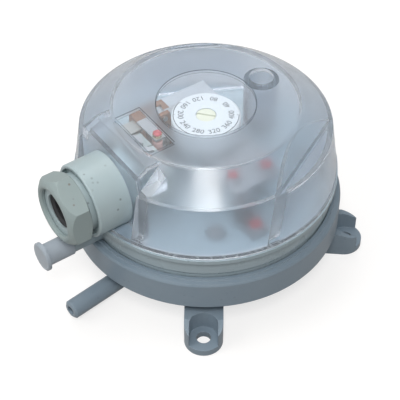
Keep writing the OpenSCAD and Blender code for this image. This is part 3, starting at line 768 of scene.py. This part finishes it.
@dataclass(frozen=True)
class SoftRubber(Finish):
    """Rubber, silicone or nylon with a dull, slightly dusty skin.

    Attributes:
        mottle: Drift of the colour, as a share.
        sheen: Weight of the dull sheen.
        clear: Share of light that passes through.
        ior: Refractive index.
        grain: Height of the grain, in metres.
        grain_scale: Grains per metre.
    """

    mottle: float = 0.12
    sheen: float = 0.15
    clear: float = 0.0
    ior: float = 1.40
    grain: float = 0.01 * MM
    grain_scale: float = 2200.0

    def dress(self, g: Graph, shader: bpy.types.Node, effects: Effects) -> None:
        """Mottles the colour and gives the skin its grain.

        Args:
            g: The material's graph.
            shader: The Principled shader.
            effects: The shared groups.
        """
        colour = self.place(g, effects.mottle, Colour=self.colour, Amount=self.mottle)
        g.join(colour.outputs["Colour"], shader.inputs["Base Color"])
        g.join(self.rubbed(g, effects)[0], shader.inputs["Roughness"])
        shader.inputs["Sheen Weight"].default_value = self.sheen
        shader.inputs["Transmission Weight"].default_value = self.clear
        shader.inputs["IOR"].default_value = self.ior
        grain = self.place(g, effects.grain, Scale=self.grain_scale)
        self.bump(g, shader, grain.outputs["Height"], self.grain)


@dataclass(frozen=True)
class LacquerDrop(Finish):
    """Thick glossy locking lacquer whose colour pools.

    Attributes:
        pooled: Colour where the drop is thick.
        pools: Pools per metre.
        depth: How far a pool stands up, in metres.
        coat: Weight of the clear coat.
    """

    handled: float = 0.1
    pooled: Colour = (0.30, 0.01, 0.015)
    pools: float = 700.0
    depth: float = 0.05 * MM
    coat: float = 0.6

    def dress(self, g: Graph, shader: bpy.types.Node, effects: Effects) -> None:
        """Pools the colour and the height together.

        Args:
            g: The material's graph.
            shader: The Principled shader.
            effects: The shared groups.
        """
        thick = g.spread(g.noise(g.where(), self.pools, 3.0), 0.35, 0.7, 0.0, 1.0)
        g.join(g.mix(thick, self.colour, self.pooled), shader.inputs["Base Color"])
        shader.inputs["Coat Weight"].default_value = self.coat
        g.join(self.rubbed(g, effects)[0], shader.inputs["Roughness"])
        self.bump(g, shader, thick, self.depth)


@dataclass(frozen=True)
class FrostedCover(Finish):
    """Clear plastic, frosted outside two polished windows on its top, with a painted shade line
    along each window's step.

    Attributes:
        mottle: Drift of the colour, as a share.
        inner: Roughness of the inner face, where light leaves the wall.
        polished: Roughness inside the windows.
        polished_colour: Colour inside the windows.
        ior: Refractive index.
        clear: Share of light that passes; the rest is scattered by the frosting.
        shadow: Colour of the light that the cover lets through to the mechanism.
        window_r: Radius of the round window, in metres.
        slot_half: Half length and half width of the terminal window.
        slot_y: Centre of the terminal window, in the upper half's frame.
        top_z: Height above which the windows count.
        line: Half width of the painted shade line along a window's edge.
        line_colour: Colour of that painted shade line, a dark line standing in for the shade at the
            window's step.
    """

    handled: float = 0.08
    mottle: float = 0.05
    inner: float = 0.36
    polished: float = 0.03
    polished_colour: Colour = (0.93, 0.945, 0.97)
    ior: float = 1.45
    clear: float = 0.93
    shadow: Colour = (0.84, 0.86, 0.88)
    window_r: float = 15.0 * MM
    slot_half: tuple[float, float] = (9.2 * MM, 4.2 * MM)
    slot_y: float = -21.8 * MM
    top_z: float = 52.0 * MM
    line: float = 0.13 * MM
    # Painted shade: colour of the dark line along the windows' steps
    line_colour: Colour = (0.20, 0.23, 0.26)

    def windows(self, g: Graph) -> tuple[Socket, Socket]:
        """Masks of the windows and of the painted shade line along the fine step round them, from
        distances to their edges.

        Args:
            g: The material's graph.

        Returns:
            The mask of the windows and the mask of the painted shade lines along their edges.
        """
        x, y, z = self.upper_parts(g)
        square = g.math("ADD", g.math("MULTIPLY", x, x), g.math("MULTIPLY", y, y))
        off_round = g.math("SUBTRACT", g.math("SQRT", square), self.window_r)
        from_slot = g.math("ABSOLUTE", g.math("SUBTRACT", y, self.slot_y))
        off_x = g.math("SUBTRACT", g.math("ABSOLUTE", x), self.slot_half[0])
        off_y = g.math("SUBTRACT", from_slot, self.slot_half[1])
        outside = g.math("MINIMUM", off_round, g.math("MAXIMUM", off_x, off_y))
        high = g.math("GREATER_THAN", z, self.top_z)
        inside = g.math("MULTIPLY", g.math("LESS_THAN", outside, 0.0), high)
        near = g.math("LESS_THAN", g.math("ABSOLUTE", outside), self.line)
        return inside, g.math("MULTIPLY", near, high)

    def dress(self, g: Graph, shader: bpy.types.Node, effects: Effects) -> None:
        """Frosts both faces outside the windows, paints a dark shade line along their steps, and
        lets light straight through for shadows.

        Args:
            g: The material's graph.
            shader: The Principled shader.
            effects: The shared groups.
        """
        mask, line = self.windows(g)
        backfacing = g.node("ShaderNodeNewGeometry").outputs["Backfacing"]
        frosted = g.mix_value(backfacing, self.rubbed(g, effects)[0], self.inner)
        g.join(g.mix_value(mask, frosted, self.polished), shader.inputs["Roughness"])
        tint = self.place(g, effects.mottle, Colour=self.colour, Amount=self.mottle)
        clear = g.mix(mask, tint.outputs["Colour"], self.polished_colour)
        # Painted shade: a dark line along each window's step stands in for the shade that the step
        # shows in clear plastic
        g.join(g.mix(line, clear, self.line_colour), shader.inputs["Base Color"])
        shader.inputs["Transmission Weight"].default_value = self.clear
        shader.inputs["IOR"].default_value = self.ior
        through = g.node("ShaderNodeBsdfTransparent")
        through.inputs["Color"].default_value = (*self.shadow, 1.0)
        either = g.node("ShaderNodeMixShader")
        g.join(g.node("ShaderNodeLightPath").outputs["Is Shadow Ray"], either.inputs[0])
        g.join(shader.outputs[0], either.inputs[1])
        g.join(through.outputs[0], either.inputs[2])
        g.join(either.outputs[0], g.standing("OUTPUT_MATERIAL").inputs["Surface"])


class Surface(Enum):
    """Finishes by the record's material slot."""

    BODY = ("body", MouldedPlastic("body_grey", (0.215, 0.278, 0.335), 0.36))
    UPPER = ("upper", MouldedPlastic("upper_grey", (0.330, 0.410, 0.450), 0.28))
    SILICONE = ("silicone", SoftRubber("diaphragm_silicone", (0.52, 0.50, 0.46), 0.55))
    RUBBER = ("rubber", SoftRubber("black_rubber", (0.035, 0.035, 0.038), 0.6))
    PLATE = ("plate", MouldedPlastic("plate_white", (0.62, 0.62, 0.60), 0.4))
    TAPPET = ("tappet", MouldedPlastic("tappet_pink", (0.56, 0.30, 0.27), 0.35))
    SPRING = ("spring", PlatedSheet("spring_wire", (0.50, 0.51, 0.54), 0.25))
    BRASS = ("brass", PlatedSheet("turned_brass", (0.52, 0.39, 0.20), 0.32))
    DIAL = (
        "dial",
        MouldedPlastic("dial_white", (0.58, 0.63, 0.66), 0.35, mottle=0.04, specks=0.0, rub=0.1),
    )
    STEEL = ("steel", PlatedSheet("plated_steel", (0.42, 0.44, 0.46), 0.42))
    LACQUER = ("lacquer", LacquerDrop("locking_lacquer", (0.55, 0.03, 0.05), 0.18))
    SWITCH = ("switch", TwoToneCase("switch_case", (0.17, 0.065, 0.022), 0.35))
    BUTTON = ("button", MouldedPlastic("button_red", (0.45, 0.03, 0.03), 0.3))
    TERMINAL = (
        "terminal",
        SoftRubber("terminal_nylon", (0.33, 0.39, 0.39), 0.38, sheen=0.0, clear=0.10),
    )
    CLEAR = ("clear", FrostedCover("frosted_cover", (0.715, 0.760, 0.815), 0.21))
    GASKET = ("gasket", SoftRubber("pale_gasket", (0.60, 0.62, 0.63), 0.6))
    GLAND = (
        "gland",
        MouldedPlastic(
            "gland_grey", (0.40, 0.49, 0.51), 0.36, dust=(0.40, 0.36, 0.30), specks=0.55
        ),
    )
    CAP = ("cap", SoftRubber("cap_rubber", (0.46, 0.52, 0.58), 0.42, sheen=0.1, clear=0.25))


class Special(Enum):
    """Finishes of single nodes that differ from their slot's."""

    NUT = (
        ("gland_nut",),
        MouldedPlastic(
            "nut_grey_green",
            (0.290, 0.355, 0.355),
            0.46,
            specks=0.6,
            speck_colour=(0.16, 0.10, 0.07),
        ),
    )
    AXIS = (("knob_screw",), MouldedPlastic("axis_cream", (0.62, 0.64, 0.50), 0.35, specks=0.0))
    STRIP = (
        ("contact_strip_1", "contact_strip_2", "contact_strip_3"),
        PlatedSheet("tinned_strip", (0.40, 0.41, 0.39), 0.38),
    )


# Studio


@dataclass(frozen=True)
class Lamp:
    """A square area lamp that faces the object.

    Attributes:
        name: Name of the lamp.
        azimuth: Degrees round from the camera's azimuth.
        elevation: Degrees above the horizon.
        away: Distance in metres.
        size: Side in metres.
        watts: Power.
    """

    name: str
    azimuth: float
    elevation: float
    away: float
    size: float
    watts: float


@dataclass
class Studio:
    """Pale floor, soft lamps and the photograph's camera.

    Attributes:
        azimuth: Camera's azimuth, in degrees.
        elevation: Camera's elevation, in degrees.
        distance: Distance from the target, in metres.
        target: Point that the camera looks at.
        lens: Focal length for the sensor, in millimetres.
        sensor: Width of the sensor, in millimetres.
        shift: The lens's upward shift, in sensor widths.
        lamps: The lamps.
        lamp_target: Point that the lamps face.
        floor_half: Half side of the floor, in metres.
        floor_colour: Colour of the floor under the lamps.
        floor_glow: Light of its own that the floor shows to the camera.
        floor_mirrored: Share of that light that shiny surfaces mirror.
        sky_light: Strength of the sky that lights the object.
        sky_seen: What is added to it where the sky itself is seen.
    """

    azimuth: float = 47.9
    elevation: float = 45.0
    distance: float = 0.3845
    target: Point = (-1.21 * MM, -1.34 * MM, 15.11 * MM)
    lens: float = 108.0
    sensor: float = 36.0
    shift: float = 0.0005
    lamps: tuple[Lamp, ...] = (
        Lamp("key", 1.0, 57.0, 0.9, 0.26, 3.5),
        Lamp("side", -72.0, 40.0, 1.0, 0.6, 2.9),
        Lamp("top", -150.0, 68.0, 1.1, 0.6, 4.2),
    )
    lamp_target: Point = (0.0, 0.0, 30.0 * MM)
    floor_half: float = 3.0
    floor_colour: Colour = (0.34, 0.33, 0.32)
    floor_glow: float = 0.70
    floor_mirrored: float = 0.35
    sky_light: float = 0.35
    sky_seen: float = 0.65

    @staticmethod
    def direction(azimuth: float, elevation: float) -> Vector:
        """Unit vector from the object towards a viewer.

        Args:
            azimuth: Degrees, 0 looks along +Y.
            elevation: Degrees above the horizon.

        Returns:
            The direction.
        """
        a, e = math.radians(azimuth), math.radians(elevation)
        return Vector((math.cos(e) * math.sin(a), -math.cos(e) * math.cos(a), math.sin(e)))

    @staticmethod
    def aim(holder: bpy.types.Object, target: Point, towards: Vector, away: float) -> None:
        """Puts a camera or lamp some way from a point and turns it to face that point.

        Args:
            holder: The camera or lamp.
            target: The point.
            towards: Unit vector from the point to the camera or lamp.
            away: Distance in metres.
        """
        holder.location = Vector(target) + towards * away
        holder.rotation_euler = (-towards).to_track_quat("-Z", "Y").to_euler()

    def camera(self) -> None:
        """Adds the camera and makes it the scene's."""
        data = bpy.data.cameras.new("camera")
        data.lens = self.lens
        data.sensor_width = self.sensor
        data.clip_start = 0.01
        data.clip_end = 10.0
        data.shift_y = self.shift
        holder = add_object("camera", data)
        self.aim(holder, self.target, self.direction(self.azimuth, self.elevation), self.distance)
        bpy.context.scene.camera = holder

    def light(self, lamp: Lamp) -> None:
        """Adds a lamp that clear plastic doesn't show.

        Args:
            lamp: Its place, size and power.
        """
        data = bpy.data.lights.new(lamp.name, "AREA")
        data.shape = "SQUARE"
        data.size = lamp.size
        data.energy = lamp.watts
        holder = add_object(lamp.name, data)
        holder.visible_transmission = False
        towards = self.direction(self.azimuth + lamp.azimuth, lamp.elevation)
        self.aim(holder, self.lamp_target, towards, lamp.away)

    def floor(self) -> None:
        """Adds the pale floor, white to the camera, mirrors and clear plastic."""
        corners = np.array([[-1, -1, 0], [1, -1, 0], [1, 1, 0], [-1, 1, 0]]) * self.floor_half
        floor = mesh_object("studio_floor", corners, [[0, 1, 2, 3]])
        material, g, shader = node_material("studio_floor")
        shader.inputs["Roughness"].default_value = 0.9
        shader.inputs["Specular IOR Level"].default_value = 0.0
        shader.inputs["Base Color"].default_value = (*self.floor_colour, 1.0)
        straight, glossy = g.seen()
        seen = g.math("MAXIMUM", straight, g.math("MULTIPLY", glossy, self.floor_mirrored))
        shader.inputs["Emission Color"].default_value = (1.0, 1.0, 1.0, 1.0)
        g.join(g.math("MULTIPLY", seen, self.floor_glow), shader.inputs["Emission Strength"])
        floor.data.materials.append(material)

    def world(self) -> None:
        """Sets an even pale sky that is white to the camera."""
        world = bpy.data.worlds.new("studio")
        world.use_nodes = True
        bpy.context.scene.world = world
        g = Graph(world.node_tree)
        sky = g.standing("BACKGROUND")
        sky.inputs["Color"].default_value = (1.0, 1.0, 1.0, 1.0)
        strength = g.math("ADD", g.math("MULTIPLY", g.seen()[0], self.sky_seen), self.sky_light)
        g.join(strength, sky.inputs["Strength"])

    def build(self) -> None:
        """Builds the whole studio."""
        self.camera()
        self.world()
        self.floor()
        for lamp in self.lamps:
            self.light(lamp)
        bpy.context.scene.view_settings.view_transform = "Standard"
        LOG.info("studio with %d lamps", len(self.lamps))


# Pieces


@dataclass
class DialPrint:
    """Numbers and a range line printed on the setting dial.

    Attributes:
        figures: Numbers in the order that they follow the dial's edge, counterclockwise.
        first: Angle of the first number, in degrees from the row frame's +X.
        step: Degrees from one number to the next.
        figure_r: Distance of the numbers from the axis.
        figure_size: Height of a number.
        line_r: Radius of the range line.
        line_w: Width of the range line.
        line_from: Index of the number where the range line starts.
        mark_in: How far a mark starts inside the line.
        mark_w: Length of a mark.
        mark_turn: Width of a mark, in degrees.
        thickness: Thickness of the print.
        lift: Gap between the print and the dial, as a share of its thickness.
        ink: Finish of the print.
    """

    figures: tuple[int, ...] = (40, 80, 120, 160, 200, 240, 280, 320, 360, 400)
    first: float = 83.9
    step: float = 36.0
    figure_r: float = 7.7 * MM
    figure_size: float = 2.5 * MM
    line_r: float = 9.75 * MM
    line_w: float = 0.22 * MM
    line_from: int = 3
    mark_in: float = 0.5 * MM
    mark_w: float = 0.6 * MM
    mark_turn: float = 1.0
    thickness: float = 0.03 * MM
    lift: float = 0.2
    ink: Finish = MouldedPlastic(
        "dial_ink", (0.02, 0.024, 0.03), 0.5, mottle=0.05, specks=0.0, rub=0.0
    )

    def arc(
        self, name: str, radius: float, width: float, start: float, sweep: float, z: float
    ) -> bpy.types.Object:
        """Flat arc: a small rectangle carried round the axis, with a point every two degrees.

        Args:
            name: Name of the piece.
            radius: Inner radius.
            width: Width of the line.
            start: First angle, in degrees.
            sweep: Angle covered, in degrees.
            z: Height of the lower face.

        Returns:
            A closed thin solid.
        """
        count = max(8, int(abs(sweep) / 2))
        angle = np.radians(start + np.linspace(0.0, sweep, count))[:, None]
        out = radius + width * np.array([[0.0, 1.0, 1.0, 0.0]])
        up = z + self.thickness * np.array([[0.0, 0.0, 1.0, 1.0]])
        up = np.broadcast_to(up, (count, 4))
        points = np.stack([np.cos(angle) * out, np.sin(angle) * out, up], -1)
        return mesh_object(name, points, grid_faces(count, 4))

    def figure(self, index: int, z: float) -> bpy.types.Object:
        """One number, its foot towards the dial's edge.

        Args:
            index: Which number.
            z: Height of the lower face.

        Returns:
            The number's mesh.
        """
        angle = math.radians(self.first + self.step * index)
        x, y = math.cos(angle) * self.figure_r, math.sin(angle) * self.figure_r
        place = Matrix.Translation((x, y, z + self.thickness / 2))
        place = place @ Matrix.Rotation(angle + math.pi / 2, 4, "Z")
        words = str(self.figures[index])
        return text_mesh(f"figure_{index}", words, self.figure_size, self.thickness, place)

    def build(self, effects: Effects) -> None:
        """Builds the print on the dial's face.

        Args:
            effects: The shared groups.
        """
        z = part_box("setting_knob")[1][2] + self.thickness * self.lift
        count = len(self.figures)
        start = self.first + self.step * self.line_from
        sweep = self.step * (count - 1 - self.line_from)
        parts = [self.figure(i, z) for i in range(count)]
        parts.append(self.arc("range_line", self.line_r, self.line_w, start, sweep, z))
        for i in range(count - self.line_from):
            turn = start + self.step * i - self.mark_turn / 2
            inner = self.line_r - self.mark_in
            parts.append(self.arc(f"mark_{i}", inner, self.mark_w, turn, self.mark_turn, z))
        piece = join("dial_print", parts)
        piece.data.materials.append(self.ink.build(effects))
        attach(piece, "knob")
        LOG.info("dial print with %d numbers", count)


@dataclass
class RangeSpring:
    """The range spring in two halves that meet at mid-height.

    Attributes:
        turns: Turns of the whole spring.
        wire: Thickness of the wire.
        steps: Rings of points in one turn.
        sides: Points round the wire.
    """

    turns: int = 7
    wire: float = 1.0 * MM
    steps: int = 40
    sides: int = 16

    def half(
        self, name: str, first: float, last: float, metal: bpy.types.Material
    ) -> bpy.types.Object:
        """Tube on a helix: the wire's circle is carried round the axis and rises as it turns.

        The rise is half the square of the turns passed in the first turn, the same mirrored in
        the last one, and a straight line between them, so both ends lie flat.

        Args:
            name: Name of the piece.
            first: Turns passed where the half starts.
            last: Turns passed where it ends.
            metal: Material of the wire.

        Returns:
            A closed tube in the place of the CAD spring.
        """
        low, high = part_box("range_spring")
        across = self.wire / 2
        mean = (high[0] - low[0]) / 2 - across
        climb = (high[2] - low[2] - self.wire) / (self.turns - 1)
        rows = round((last - first) * self.steps) + 1
        t = np.linspace(first, last, rows)[:, None]
        q = np.linspace(0.0, 2 * math.pi, self.sides, endpoint=False)[None, :]
        left = self.turns - t
        rise = np.where(left < 1, self.turns - 1 - left * left / 2, t - 0.5)
        rise = np.where(t < 1, t * t / 2, rise)
        out = mean + across * np.cos(q)
        up = low[2] + across + climb * rise + across * np.sin(q)
        angle = 2 * math.pi * t
        points = np.stack([out * np.cos(angle), out * np.sin(angle), up], -1)
        piece = mesh_object(name, points, grid_faces(rows, self.sides))
        round_faces = np.ones(len(piece.data.polygons), dtype=bool)
        round_faces[-2:] = False
        piece.data.polygons.foreach_set("use_smooth", round_faces)
        piece.data.materials.append(metal)
        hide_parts("range_spring")
        return piece

    def build(self, metal: bpy.types.Material) -> None:
        """Builds both halves and bakes their places into their meshes.

        Args:
            metal: Material of the wire.
        """
        below = self.half("spring_lower_half", 0.0, self.turns / 2, metal)
        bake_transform(below)
        above = self.half("spring_upper_half", self.turns / 2, float(self.turns), metal)
        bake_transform(above)
        LOG.info("range spring in two halves")


@dataclass
class NodeDress:
    """Gives every CAD node the material of its slot.

    Attributes:
        effects: The shared shader groups.
        made: Materials built so far, by slot.
    """

    effects: Effects
    made: dict[str, bpy.types.Material] = field(default_factory=dict)

    def build(self) -> None:
        """Builds each finish once and puts it on its nodes."""
        for surface in Surface:
            slot, finish = surface.value
            self.made[slot] = finish.build(self.effects)
        slots = {row["node"]: row["material_slot"] for row in frame["record"]["subparts"]}
        for name, piece in frame["nodes"].items():
            piece.data.materials.clear()
            piece.data.materials.append(self.made[slots[name]])
            LOG.info("%s is %s", name, slots[name])
        for special in Special:
            names, finish = special.value
            material = finish.build(self.effects)
            for name in names:
                frame["nodes"][name].data.materials[0] = material
                LOG.info("%s is %s", name, finish.name)


def main() -> None:
    """Builds the studio, the finishes and the added pieces, in order."""
    logging.basicConfig(level=logging.INFO, format="%(message)s")
    Studio().build()
    effects = Effects()
    dress = NodeDress(effects)
    dress.build()
    DialPrint().build(effects)
    RangeSpring().build(dress.made["spring"])


if __name__ == "__main__":
    main()
